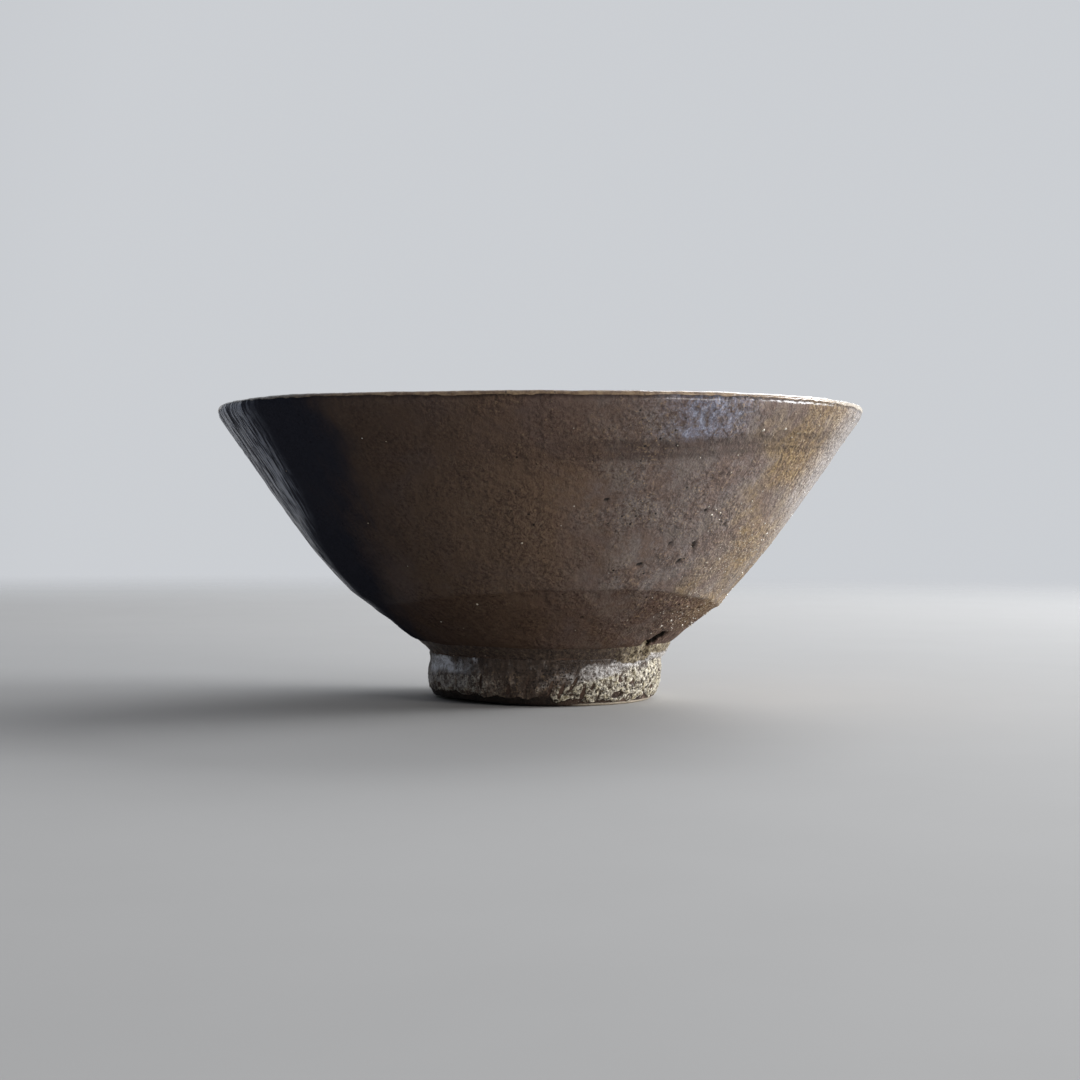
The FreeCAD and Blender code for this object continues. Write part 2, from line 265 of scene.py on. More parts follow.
THROWING_LINES = [
    # height, half width, depth, how far the line waves up and down
    (59.3, 0.45, 0.17, 1.9),
    (58.2, 0.35, 0.07, 1.9),
    (56.4, 0.5, 0.13, 1.9),
    (51, 1.2, 0.06, 0.8),
    (44.5, 1.4, 0.06, 0.7),
    (37, 1.5, 0.07, 0.5),
    (30.5, 1.2, 0.05, 0.4),
]
WAVE_START = math.radians(40)
TRIM_LINE = 24.6
TRIM_WAVE = 2.8
TRIM_CREST = math.radians(12)
MARKS = [
    # azimuth, height, half length, half width, tilt in degrees from level, depth
    (51.2, 14.3, 1.8, 1.85, 40, 1.8),
    (55, 15.6, 2, 1.95, 50, 1.9),
    (51, 13.9, 0.8, 0.7, 20, 0.9),
    (60, 22.3, 1.5, 0.4, 12, 0.6),
    (64.5, 22.9, 0.8, 0.35, 5, 0.5),
    (38.5, 24.4, 0.9, 0.35, 4, 0.4),
    (24.5, 32.5, 0.85, 0.6, 40, 0.7),
    (35.5, 33.2, 1.1, 0.5, 35, 0.7),
    (37.5, 36.5, 1.2, 0.5, -50, 0.7),
    (30.5, 36.8, 0.8, 0.4, 60, 0.5),
    (13, 46.2, 0.75, 0.55, 20, 0.5),
    (36, 43.8, 0.75, 0.5, 0, 0.55),
    (43.5, 41, 0.7, 0.4, 30, 0.45),
    (13.5, 20.6, 0.6, 0.45, 10, 0.45),
    (-96, 31, 0.9, 0.5, 35, 0.5),
    (-150, 48, 0.7, 0.5, 80, 0.4),
    (134, 26, 1.6, 0.5, 24, 0.6),
    (168, 38, 0.6, 0.5, 0, 0.4),
]


def marks_depth(theta, s, radius):
    """How deep the gashes and pits in the outside go."""
    azimuth = front_azimuth(theta)
    depth = np.zeros(theta.shape)
    for where, height, length, width, tilt, deepest in MARKS:
        u = np.radians(wrapped(azimuth - where)) * radius
        v = s - BOWL.where(height)
        c, d = math.cos(math.radians(tilt)), math.sin(math.radians(tilt))
        along, across = u * c + v * d, v * c - u * d
        across = across + 0.25 * width * np.sin(along * 2.2 + where)
        distance = np.sqrt((along / length) ** 2 + (across / width) ** 2)
        depth = np.maximum(depth, deepest * fade(distance, 0.45, 1.25))
        depth = depth - 0.1 * deepest * bump(distance - 1.45, 0.3)
    return depth


def line_level(azimuth, z, height, wave):
    """Height above a throwing line, which isn't quite level."""
    return z - height - wave * np.sin(2 * (azimuth - WAVE_START))


def trim_level(azimuth, p, z):
    """Height above the edge of the part that was trimmed upside down, after throwing."""
    level = TRIM_LINE + TRIM_WAVE * np.cos(2 * (azimuth - TRIM_CREST))
    return z - level - 0.25 * noise(p, 9, 11)


def outside_relief(theta, s, p, radius, z):
    """How far the outer coat stands out from, or dips below, the even section."""
    degrees = front_azimuth(theta)
    azimuth = np.radians(degrees)
    relief = noises(p, (0.26, 30, 3), (0.14, 12, 4), (0.08, 5, 5))
    peel = 0.6 + 0.4 * noise(p, 17, 6)
    relief += 0.075 * peel * noise(p, (2.4, 2.4, 1.8), 7) + 0.04 * noise(p, 1.2, 8)
    faint = 1 - 0.6 * bump(degrees - 74, 30) - 0.65 * bump(degrees + 45, 35)
    for height, width, depth, wave in THROWING_LINES:
        level = line_level(azimuth, z, height, wave) - 0.15 * noise(p, 16, 9)
        strength = faint * (0.7 + 0.5 * noise(p, 22, 10 + int(height)))
        relief -= depth * strength * bump(level, width)
        relief += 0.5 * depth * strength * bump(level + 1.8 * width, width)
    trim = trim_level(azimuth, p, z)
    crisp = 0.15 + 0.85 * smooth(np.sin(azimuth + 0.5), -0.6, 0.5)
    relief -= 0.28 * crisp * fade(trim, -1, 0.2) * smooth(z, 13.5, 17)
    relief += 0.22 * crisp * bump(trim - 0.4, 0.55) * (0.8 + 1 * noise(p, 4, 12))
    scraped = fade(trim, -0.6, 0.4) * smooth(z, 13, 15.5)
    relief += scraped * (0.1 * noise(p, (9, 9, 2.2), 13) + 0.06 * noise(p, (4, 4, 1.2), 14))
    relief += 0.55 * smooth(25.5 - z, 0, 3.5) * np.sin(azimuth)
    return relief - marks_depth(theta, s, radius)


SPIRAL_PITCH = 7.5


def inside_relief(theta, p, radius, z):
    """The same for the inner coat: softer, with the fingers' spiral and a full tea pool."""
    relief = noises(p, (0.26, 30, 3), (0.14, 13, 23))
    relief += 0.05 * noise(p, 2.8, 24) * smooth(radius, 10, 20)
    climb = z + theta / TURN * SPIRAL_PITCH
    spiral = np.cos(climb / SPIRAL_PITCH * TURN) * smooth(radius, 16, 30) * fade(z, 55, 64)
    return relief + 0.16 * spiral * (0.8 + 0.3 * noise(p, 20, 25))


def lip_relief(theta, p):
    relief = noises(p, (0.26, 30, 3), (0.08, 9, 31))
    return relief + 0.06 * noise(p, 2.2, 32) + 0.03 * noise(p, 0.8, 33)


def bowl_point(theta, s, sink=0):
    """The bowl's uneven surface at azimuth theta and arc length s, sunk by some depth."""
    s = s + 0 * theta
    radius, z = BOWL.at(s)
    out, up = BOWL.normal_at(s)
    p = polar(radius, theta, z)
    inner = smooth(s, BOWL_TOP - 0.3, BOWL_TOP + 2.5)
    lip = smooth(s, BOWL_TOP - 4, BOWL_TOP - 2.6) * fade(s, BOWL_TOP + 2, BOWL_TOP + 4.5)
    relief = (1 - inner) * outside_relief(theta, s, p, radius, z)
    relief += inner * inside_relief(theta, p, radius, z)
    relief = relief * (1 - lip) + lip * lip_relief(theta, p) - sink
    radius = radius + out * relief
    z = z + up * relief
    high = smooth(z, 20, RIM_HEIGHT)
    azimuth = front_azimuth(theta)
    z = z + high * (0.12 + 0.22 * np.cos(theta) + 0.1 * np.sin(3 * theta + 2.1))
    z = z + high * (0.42 * bump(azimuth - 47, 26) + 0.3 * bump(azimuth + 54, 24))
    radius = radius * (1 + 0.0025 * np.sin(2 * theta + 1.9) * high)
    return polar(radius, theta, z)


# ---- zones of the outer glaze, and of the light and shade painted on it


def outside_zones(theta, s, edge):
    """Where the outer glaze changes, and where light and shade are painted on it, as shares from 0 to 1 for
    its material to read.
    """
    radius, z = BOWL.at(s)
    p = polar(radius, theta, z)
    across = p[..., 0]
    degrees = front_azimuth(theta)
    azimuth = np.radians(degrees)
    wander = noises(p, (9, 26, 101), (5, 9, 102), (3, 3, 103))
    top_lines = THROWING_LINES[:3]
    levels = [line_level(azimuth, z, line[0], line[3]) for line in top_lines]
    lines = sum(bump(level, 1.2 * line[1]) for level, line in zip(levels, top_lines))
    band = fade(levels[0], -0.8, 0.3) * smooth(levels[2], -1.5, 1)
    from_front = smooth(degrees + 0.5 * wander, -20, 22)
    # where a painted reflection of the window lies, a little right of the front
    in_window_reflection = smooth(degrees + 0.5 * wander, 18, 29) * fade(degrees + 0.7 * wander, 29, 41)
    trim = trim_level(azimuth, p, z)
    low = fade(z, 33, 50)
    lower_right = smooth(degrees, 34, 56) * fade(degrees, 95, 120) * low
    from_left = across + 17 + 0.45 * z + 0.6 * wander
    round_back = smooth(-degrees + 1.5 * wander, 92, 165)
    # painted shade: blue-black on the dim left side, away from the window, fading round the back
    shade = fade(from_left, -12, 9) * (1 - 0.75 * round_back)
    right = 0.6 * smooth(degrees + 0.4 * wander, 56, 80) * fade(degrees + wander, 105, 145)
    return {
        "shade": shade,
        # painted shade: the wall darkens towards the left
        "painted_side_shade": fade(from_left, -4, 58),
        # painted reflection: a bluish sheen along the left silhouette
        "painted_rim_sheen": smooth(-degrees + 0.4 * wander - 0.32 * (62 - z), 54, 65)
        * fade(-degrees + wander, 86, 128)
        * smooth(z, 12, 28),
        "ochre": smooth(across - 0.9 * wander + 0.35 * (48 - z), 33, 56),
        # a paler grey haze growing towards the lit right: partly the glaze's tone, partly painted sheen
        "haze_and_sheen": smooth(across + wander, -12, 40),
        # painted sheen: pale grey along the lit right silhouette
        "painted_right_sheen": smooth(degrees + 0.6 * wander, 58, 80)
        * fade(degrees + 1.6 * wander, 84, 128)
        * smooth(z, 26, 50),
        "streaky": np.maximum(shade, right),
        "crown": smooth(z + 0.3 * wander, 42, 60) * fade(degrees + wander, -5, 30),
        "band": band * from_front * fade(degrees + wander, 28, 54),
        "lines": lines * from_front * fade(degrees, 58, 86),
        "painted_window_reflection": in_window_reflection * smooth(levels[0] + 0.1 * wander, -0.3, 1.6),
        "trimmed": fade(trim, -0.6, 0.5),
        "scar": marks_depth(theta, s, radius),
        "specks": lower_right * smooth(z, 16, 20) * (0.6 + 0.8 * noise(p, 6, 104)),
        "edge": smooth(edge, 0, 1) + 0 * theta,
    }


# ---- meshes


def make_piece(name, rings, node, material):
    """A closed shell through rings of points. A ring of one point is a pole, and without poles the
    last ring joins the first."""
    sizes = [len(r) for r in rings]
    starts = np.concatenate([[0], np.cumsum(sizes)])
    poles = sizes[0] == 1
    faces = []
    pairs = len(rings) - 1 if poles else len(rings)
    for k in range(pairs):
        a, b = k, (k + 1) % len(rings)
        n = max(sizes[a], sizes[b])
        i = np.arange(n)
        j = (i + 1) % n
        if sizes[a] == 1:
            corners = [np.full(n, starts[a]), starts[b] + j, starts[b] + i]
        elif sizes[b] == 1:
            corners = [starts[a] + i, starts[a] + j, np.full(n, starts[b])]
        else:
            corners = [starts[a] + i, starts[a] + j, starts[b] + j, starts[b] + i]
        faces += np.stack(corners, -1).tolist()
    return place_piece(name, np.concatenate(rings), faces, node, material)


def turn_outward(mesh):
    """Makes a closed mesh's faces point out of it."""
    solid = bmesh.new()
    solid.from_mesh(mesh)
    inside_out = solid.calc_volume(signed=True) < 0
    solid.free()
    if inside_out:
        mesh.flip_normals()
    mesh.update()


def add_object(name, data):
    thing = bpy.data.objects.new(name, data)
    bpy.context.scene.collection.objects.link(thing)
    return thing


def place_piece(name, points, faces, node, material):
    """Makes a closed mesh that takes a CAD node's place. Its points are in mm."""
    mesh = bpy.data.meshes.new(name)
    mesh.from_pydata((points * MM).tolist(), [], faces)
    mesh.polygons.foreach_set("use_smooth", [True] * len(mesh.polygons))
    turn_outward(mesh)
    mesh.materials.append(material)
    piece = add_object(name, mesh)
    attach(piece, "root")
    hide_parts(node)
    return piece


def write_values(piece, name, values):
    """Stores one number for each vertex, for a material to read."""
    attribute = piece.data.attributes.new(name, "FLOAT", "POINT")
    attribute.data.foreach_set("value", np.asarray(values, np.float32))


def ring_angles(count):
    return np.linspace(0, TURN, count, endpoint=False)


# ---- the foot


def foot_section():
    """The foot's clay from its bore, over the flat that it stands on, and up its outside."""
    inner_z = np.linspace(FOOT_HEIGHT - 0.1, 1, 12)
    outer_z = np.linspace(0.6, FOOT_HEIGHT - 0.1, 24)
    inner = side_points("foot_ring", inner_z, True, FOOT_X)
    outer = side_points("foot_ring", outer_z, False, FOOT_X)
    rest = [(inner[-1][0] + 0.5, 0), (outer[0][0] - 0.5, 0)]
    return np.concatenate([inner, rest, outer])


FOOT = Section(foot_section(), step=0.15)
FOOT_REST = FOOT.s[int(np.argmin(FOOT.line[:, 1]))]
FOOT_RADIUS = (FOOT_HIGH[0] - FOOT_LOW[0]) / 2
FOOT_GIRTH = TURN * FOOT_RADIUS
SHOULDER = 1.1
HOLES = [
    # azimuth, height, half width, half height, lean in mm per mm
    (38, 2.4, 1.3, 0.65, 0),
    (13.5, 5, 0.45, 1.5, 0.5),
    (8.5, 3.9, 0.45, 1.7, 0.3),
    (19, 3, 0.5, 1.1, 0.2),
    (23.5, 4.6, 0.35, 0.7, 0.3),
    (3, 4.4, 0.4, 1.3, 0.2),
    (47, 5.2, 0.55, 0.45, 0),
    (56, 4.4, 0.35, 0.7, 0),
    (66, 3.5, 1, 0.6, 0),
    (-8, 5.2, 0.35, 1.6, 0.1),
    (-17, 4, 0.4, 1.1, 0.1),
    (-31.5, 5.4, 0.35, 1.7, 0),
    (-62, 4, 0.8, 0.6, 0),
    (84, 6, 0.7, 0.9, 0.2),
    (110, 4.6, 1.2, 1.1, 0.2),
    (151, 3.8, 1.6, 0.9, 0),
    (-100, 3.4, 0.6, 1.2, 0),
    (-128, 5.5, 0.9, 1.6, 0),
    (-165, 4, 1.1, 1, 0),
]


def foot_point(theta, s, relief=0):
    """The foot's surface. It leans a little, and its front left edge is off the table."""
    s = s + 0 * theta
    radius, z = FOOT.at(s)
    out, up = FOOT.normal_at(s)
    p = polar(radius, theta, z)
    rough = noises(p, (0.16, 6, 41), (0.08, 2.4, 42), (0.04, 1, 43))
    rough *= smooth(z, -0.1, 1)
    rough += SHOULDER * smooth(z, 8.5, 11.8) * smooth(s, FOOT_REST, FOOT_REST + 2)
    radius = radius + out * (rough + relief)
    z = z + up * (rough + relief)
    azimuth = front_azimuth(theta)
    lift = 0.95 * bump(azimuth + 52, 42) + 0.2 * bump(azimuth - 95, 25)
    z = z + lift * fade(z, 0, 4)
    lean = FOOT_X + 0.45 * (2 * z / FOOT_HEIGHT - 1)
    return polar(radius, theta, z, (lean, 0))


CRUST_TOP = 6.2


def foot_zones(theta, s):
    """Shares of white crust and of smooth grey smear on the foot, and of the crust's even top."""
    z = FOOT.at(s)[1] + 0 * theta
    degrees = front_azimuth(theta)
    p = polar(FOOT_RADIUS, theta, z)
    wander = noises(p, (7, 5, 111), (5, 1.8, 112), (3, 0.8, 114))
    crust_top = CRUST_TOP + 0.1 * np.clip(degrees, 0, 60) + 0.06 * wander
    even_top = smooth(z - crust_top, -3.6, -1.2)
    slant = degrees + (1 + even_top) * wander - 2.4 * np.maximum(z - 5, -3)
    crust = smooth(slant, 1 - 6 * even_top, 17 + 8 * even_top) * fade(degrees + 2 * wander, 120, 150)
    crust = np.maximum(crust, 0.8 * smooth(noise(p, 9, 113), 0.25, 0.5) * smooth(abs(degrees), 100, 140))
    crust = crust * fade(z - crust_top, -0.4, 1.2)
    flecked = bump(degrees + 58, 26) * bump(z - 4.5, 2.2)
    crust = np.maximum(crust, flecked * (0.65 + 0.8 * noise(p, 1.6, 115)))
    smear = fade(abs(degrees + 58 + 1.2 * wander), 7, 25) * smooth(z + 0.08 * wander, 6, 8)
    smear = smear * fade(z + 0.1 * wander, 9.9, 11.2)
    return crust, smear, even_top


def crawled_coat(theta, s, crust, smear, even_top):
    """Thickness of the foot's coat. It is below zero where the clay shows."""
    z = FOOT.at(s)[1] + 0 * theta
    azimuth = front_azimuth(theta)
    p = polar(FOOT_RADIUS, theta, z)
    shaken = np.stack([(azimuth + 180) / 360 * FOOT_GIRTH, z], -1)
    shaken += 0.5 * np.stack([noise(p, 1.1, 121), noise(p, 1.1, 122)], -1)
    near, second = cells(shaken, 0.85, 51, FOOT_GIRTH)
    crumbs = smooth(second - near, 0, 0.4) * (0.3 + noise(p, 1.7, 123))
    fine = noises(p, (0.6, 0.45, 124), (0.5, 0.8, 125))
    pits = smooth(noise(p, 0.7, 126), 0.22, 0.55) * (1 - 0.7 * even_top)
    streaks = noise(p, (1.3, 1.3, 6), 55) + 0.5 * noise(p, (0.7, 0.7, 2.5), 56)
    skin = 0.15 + 0.09 * streaks + 0.05 * fine - 0.08 * pits
    crusted = 0.27 + 0.12 * noise(p, 3, 60) + 0.08 * crumbs + 0.14 * fine - 0.26 * pits
    smeared = 0.2 + 0.03 * noise(p, (3, 3, 0.8), 127) + 0.02 * fine
    thick = skin + (crusted - skin) * crust
    thick = thick + (smeared - thick) * smear
    level = p * (1, 1, 0)
    low_edge = 1.9 - 0.8 * crust + 0.8 * noise(level, 3.5, 57) + 0.5 * noise(level, 1.2, 58)
    ragged = noises(p, (0.5, 1.5, 59), (0.3, 0.7, 61))
    field = (z - low_edge) / 1.1 + 0.4 * ragged
    patches = 1 + 0.6 * noise(p, (2.6, 2.6, 4), 62) + 0.4 * streaks + 0.6 * crust + smear
    field = np.minimum(field, patches)
    for where, height, width, tall, lean in HOLES:
        v = z - height
        u = np.radians(wrapped(azimuth - where)) * FOOT_RADIUS - lean * v
        distance = np.sqrt((u / width) ** 2 + (v / tall) ** 2) + 0.9 * ragged
        field = np.minimum(field, (distance - 0.9) * 0.8)
    island = smooth(field, -0.05, 0.22)
    return island * thick - (1 - island) * 0.3


def make_foot(clay, coat):
    theta = ring_angles(720)
    rings = [foot_point(theta, s) for s in np.linspace(0, FOOT.s[-1], 110)]
    make_piece("foot_clay", rings, "foot_ring", clay)
    theta = ring_angles(1080)
    start = FOOT_REST + 1
    end = FOOT.s[-1] - 0.6
    rings = []
    stored = []
    for s in np.linspace(start, end, 84):
        crust, smear, even_top = foot_zones(theta, s)
        thickness = crawled_coat(theta, s, crust, smear, even_top)
        ends = smooth(s, end - 0.9, end) * 0.5
        rings.append(foot_point(theta, s, thickness - ends))
        stored.append((thickness, crust, smear, even_top))
    for s in (end, (start + end) / 2, start):
        rings.append(foot_point(theta, s, -0.6))
        stored.append(np.zeros((4, len(theta))))
    piece = make_piece("foot_coat", rings, "foot_glaze", coat)
    for name, values in zip(("coat_thickness", "crust", "smear", "even_top"), zip(*stored)):
        write_values(piece, name, np.concatenate(values))


# ---- the coil around the joint


COIL_TOP = 13.55
COIL_LOW = 10.7
COIL_CORNER = 12.3
COIL_BACK = (9.9, 11.4, 12.9)
COIL_DEPTH = 2.5


def make_coil(material):
    """The coil, smoothed into the corner on the left and left proud and lumpy on the right."""
    theta = ring_angles(900)
    azimuth = front_azimuth(theta)
    level = polar(FOOT_RADIUS, theta, 0)
    proud = smooth(azimuth + 14 * noise(level, 6, 64), 14, 52) * fade(azimuth, 105, 165)
    top_z = COIL_TOP + 0.45 * proud + 0.15 * noise(level, 3, 65)
    top = bowl_point(theta, BOWL.where(top_z), 0.35)
    ragged = noises(level, (0.35, 3, 67), (0.25, 1, 68))
    low_z = COIL_LOW - 0.9 * proud - 0.8 * bump(azimuth - 36, 22) + ragged
    low = foot_point(theta, FOOT.where(low_z), -0.15)
    out = polar(1, theta, 0)
    corner = foot_point(theta, FOOT.where(11.6)) + out * (0.95 + 0.55 * proud)[:, None]
    corner[:, 2] = COIL_CORNER - 0.9 * proud
    rings = []
    for k, row in enumerate(curve_points(top, corner, low, 40)):
        lump = noises(row, (0.2, 3.6, 61), (0.2, 1.7, 62), (0.14, 0.8, 63))
        pits = 0.35 * proud * smooth(noise(row, 1, 66), 0.15, 0.5)
        share = math.sin(math.pi * k / 39) * (0.35 + 0.65 * proud)
        rings.append(row + out * (share * (lump * 1.4 - pits))[:, None])
    rings += [polar(FOOT_RADIUS - COIL_DEPTH, theta, z, (FOOT_X, 0)) for z in COIL_BACK]
    piece = make_piece("luting_bead", rings, "luting_coil", material)
    write_values(piece, "proud", np.tile(proud, len(rings)))
    points = np.concatenate(rings)
    around = np.tile(azimuth, len(rings)) + 9 * noise(points, 2.5, 116)
    height = points[:, 2] + 0.7 * noise(points, 1.6, 117)
    crust = smooth(around, 48, 74) * fade(around, 105, 140) * fade(height, 10.6, 12.6)
    write_values(piece, "crust", crust)


# ---- the bowl's pieces


LIP_WIDTH = 1.35
COAT_EDGE = 13.1


def lip_edge(theta, inside):
    """Arc length where the dark coat gives way to the pale lip. It wanders, with small runs."""
    p = polar(RIM_RADIUS, theta, 0)
    wander = noises(p, (0.22, 14, 71 + inside), (0.2, 4, 73 + inside))
    runs = 0.35 * np.clip(noise(p, 1.8, 75 + inside), 0, 1)
    azimuth = front_azimuth(theta)
    narrow = 0.45 * fade(azimuth, -60, -25) - 1.3 * (1 - inside) * bump(azimuth + 82, 8)
    narrow -= 0.8 * (1 - inside) * bump(azimuth - 80, 18)
    depth = LIP_WIDTH + wander + runs - narrow
    top_s = BOWL_TOP + 1.2 if inside else BOWL_TOP - 0.4
    return top_s + depth if inside else top_s - depth


COAT_DEPTH = 0.55
LIP_COAT_DEPTH = 0.6
CLAY_DEPTH = 0.5


def shell_rings(theta, fronts, backs, thickness, sink):
    """Rings down a coat's face and back along its underside. sink(s) lowers the face's edges."""
    rings = [bowl_point(theta, s, sink(s)) for s in fronts]
    return rings + [bowl_point(theta, s, thickness) for s in backs]


def between(start, end, shares):
    return [start + (end - start) * share for share in shares]


def make_outer_coat(material):
    theta = ring_angles(1000)
    level = polar(RIM_RADIUS / 2, theta, 0)
    start = BOWL.where(COAT_EDGE) + 0.25 * noise(level, 5, 81)
    end = lip_edge(theta, 0)
    shares = np.linspace(0, 1, 92)
    shares = 0.7 * shares + 0.3 * shares**2
    fronts = between(start, end, shares)
    backs = between(start, end, np.linspace(1, 0, 6))
    rings = shell_rings(theta, fronts, backs, COAT_DEPTH, lambda s: 0.12 * fade(end - s, 0, 0.9))
    piece = make_piece("outer_coat", rings, "outer_glaze", material)
    zones = [outside_zones(theta, s, end - s) for s in fronts + backs]
    for name in zones[0]:
        write_values(piece, name, np.concatenate([zone[name] for zone in zones]))


def make_lip(material):
    theta = ring_angles(960)
    start = lip_edge(theta, 0) - 0.5
    end = lip_edge(theta, 1) + 0.5
    fronts = between(start, end, np.linspace(0, 1, 62))
    backs = between(start, end, np.linspace(1, 0, 8))

    def sink(s):
        return 0.06 + 0.3 * fade(np.minimum(s - start, end - s), 0.2, 0.8)

    rings = shell_rings(theta, fronts, backs, LIP_COAT_DEPTH, sink)
    piece = make_piece("lip_coat", rings, "lip_glaze", material)
    azimuth = front_azimuth(theta)
    # painted shade on the lip's dim left, and a painted highlight on its lit right
    shade = smooth(azimuth, -80, -72) * fade(azimuth, -55, -20)
    painted_right_sheen = smooth(azimuth, 45, 75) * fade(azimuth, 100, 140)
    for name, share in (("shade", shade), ("painted_right_sheen", painted_right_sheen)):
        write_values(piece, name, np.tile(share, len(rings)))


def make_inner_coat(material):
    theta = ring_angles(720)
    start = lip_edge(theta, 1)
    end = BOWL.s[-1] + 0 * theta
    fronts = between(start, end, np.linspace(0, 1, 110))[:-1]
    backs = between(start, end, np.linspace(1, 0, 14))[1:]
    rings = shell_rings(theta, fronts, [], 0, lambda s: 0.12 * fade(s - start, 0, 0.9))
    under = [bowl_point(theta, s, COAT_DEPTH) for s in backs]
    bottom = bowl_point(np.zeros(1), BOWL.s[-1], COAT_DEPTH)
    top = bowl_point(np.zeros(1), BOWL.s[-1])
    make_piece("inner_coat", [bottom] + under + rings + [top], "inner_glaze", material)


def make_clay(material):
    """The thrown clay under the coats, with the trimmed underside and its nub."""
    theta = ring_angles(480)
    rings = [np.array([[0, 0, NUB_HEIGHT]])]
    for radius in np.linspace(0.4, BOWL.at(0)[0] - 0.6, 60):
        z = SEAT_HEIGHT - (SEAT_HEIGHT - NUB_HEIGHT) * fade(radius, 0, 6)
        p = polar(radius, theta, 0)
        groove = 0.1 * math.cos(radius * 3) + 0.12 * noise(p, 4, 91) + 0.05 * noise(p, 1.5, 92)
        rings.append(polar(radius, theta, z + groove))
    for s in np.linspace(0, BOWL.s[-1] - 0.3, 130):
        rings.append(bowl_point(theta, s, CLAY_DEPTH))
    tip = bowl_point(np.zeros(1), BOWL.s[-1], CLAY_DEPTH)
    make_piece("bowl_clay", rings + [tip], "bowl_wall", material)


GRAIN_COUNT = 420
GRAIN_TRIES = 6000
GRAIN_HEIGHTS = (16.5, 65)
GRAIN_SIZES = (0.1, 0.2)


def make_grains(material):
    """Feldspar grains in the coat, as small lumps, thicker low down on the right."""
    rng = np.random.default_rng(7)
    azimuth = rng.uniform(-180, 180, GRAIN_TRIES)
    height = rng.uniform(*GRAIN_HEIGHTS, GRAIN_TRIES)
    size = rng.uniform(*GRAIN_SIZES, GRAIN_TRIES)
    size = size * np.where(rng.uniform(size=GRAIN_TRIES) < 0.15, 1.8, 1)
    right = smooth(azimuth, 20, 55) * fade(azimuth, 90, 130)
    likely = 0.012 + 0.8 * right * (1 - 0.65 * smooth(height, 30, 52))
    kept = np.flatnonzero(rng.uniform(size=GRAIN_TRIES) < likely)[:GRAIN_COUNT]
    size = size[kept]
    centres = bowl_point(np.radians(azimuth[kept] - 90), BOWL.where(height[kept]), 0.35 * size)
    ball = bmesh.new()
    bmesh.ops.create_icosphere(ball, subdivisions=2, radius=1)
    unit = np.array([v.co for v in ball.verts])
    corners = np.array([[v.index for v in face.verts] for face in ball.faces])
    ball.free()
    number = np.arange(GRAIN_COUNT)[:, None, None]
    rough = 1 + 0.18 * noise(unit + number, 0.9, 95)[..., None]
    stretch = rng.uniform(0.75, 1.25, (GRAIN_COUNT, 1, 3))
    points = unit * stretch * rough * size[:, None, None] + centres[:, None]
    faces = (corners + number * len(unit)).reshape(-1, 3).tolist()
    place_piece("feldspar_grains", points.reshape(-1, 3), faces, "stone_grains", material)


# ---- materials


class Nodes:
    """A node tree. A value in it is a number, a vector, a colour or another node's output."""

    def __init__(self, tree):
        self.nodes = tree.nodes
        self.links = tree.links

    def feed(self, socket, value):
        if isinstance(value, (int, float, tuple)):
            socket.default_value = value
        else:
            self.links.new(value, socket)

    def fill(self, node, inputs):
        """Feeds a node's inputs by name. An underscore stands for a space."""
        for name, value in inputs.items():
            self.feed(node.inputs[name.replace("_", " ")], value)

    def add(self, kind, **inputs):
        node = self.nodes.new("ShaderNode" + kind)
        self.fill(node, inputs)
        return node

    def operate(self, kind, operation, values):
        node = self.add(kind)
        node.operation = operation
        for socket, value in zip(node.inputs, values):
            self.feed(socket, value)
        return node.outputs

    def math(self, operation, *values):
        return self.operate("Math", operation, values)["Value"]

    def vector(self, operation, *values):
        return self.operate("VectorMath", operation, values)["Vector"]

    def measure(self, operation, *values):
        """A number made from vectors."""
        return self.operate("VectorMath", operation, values)["Value"]


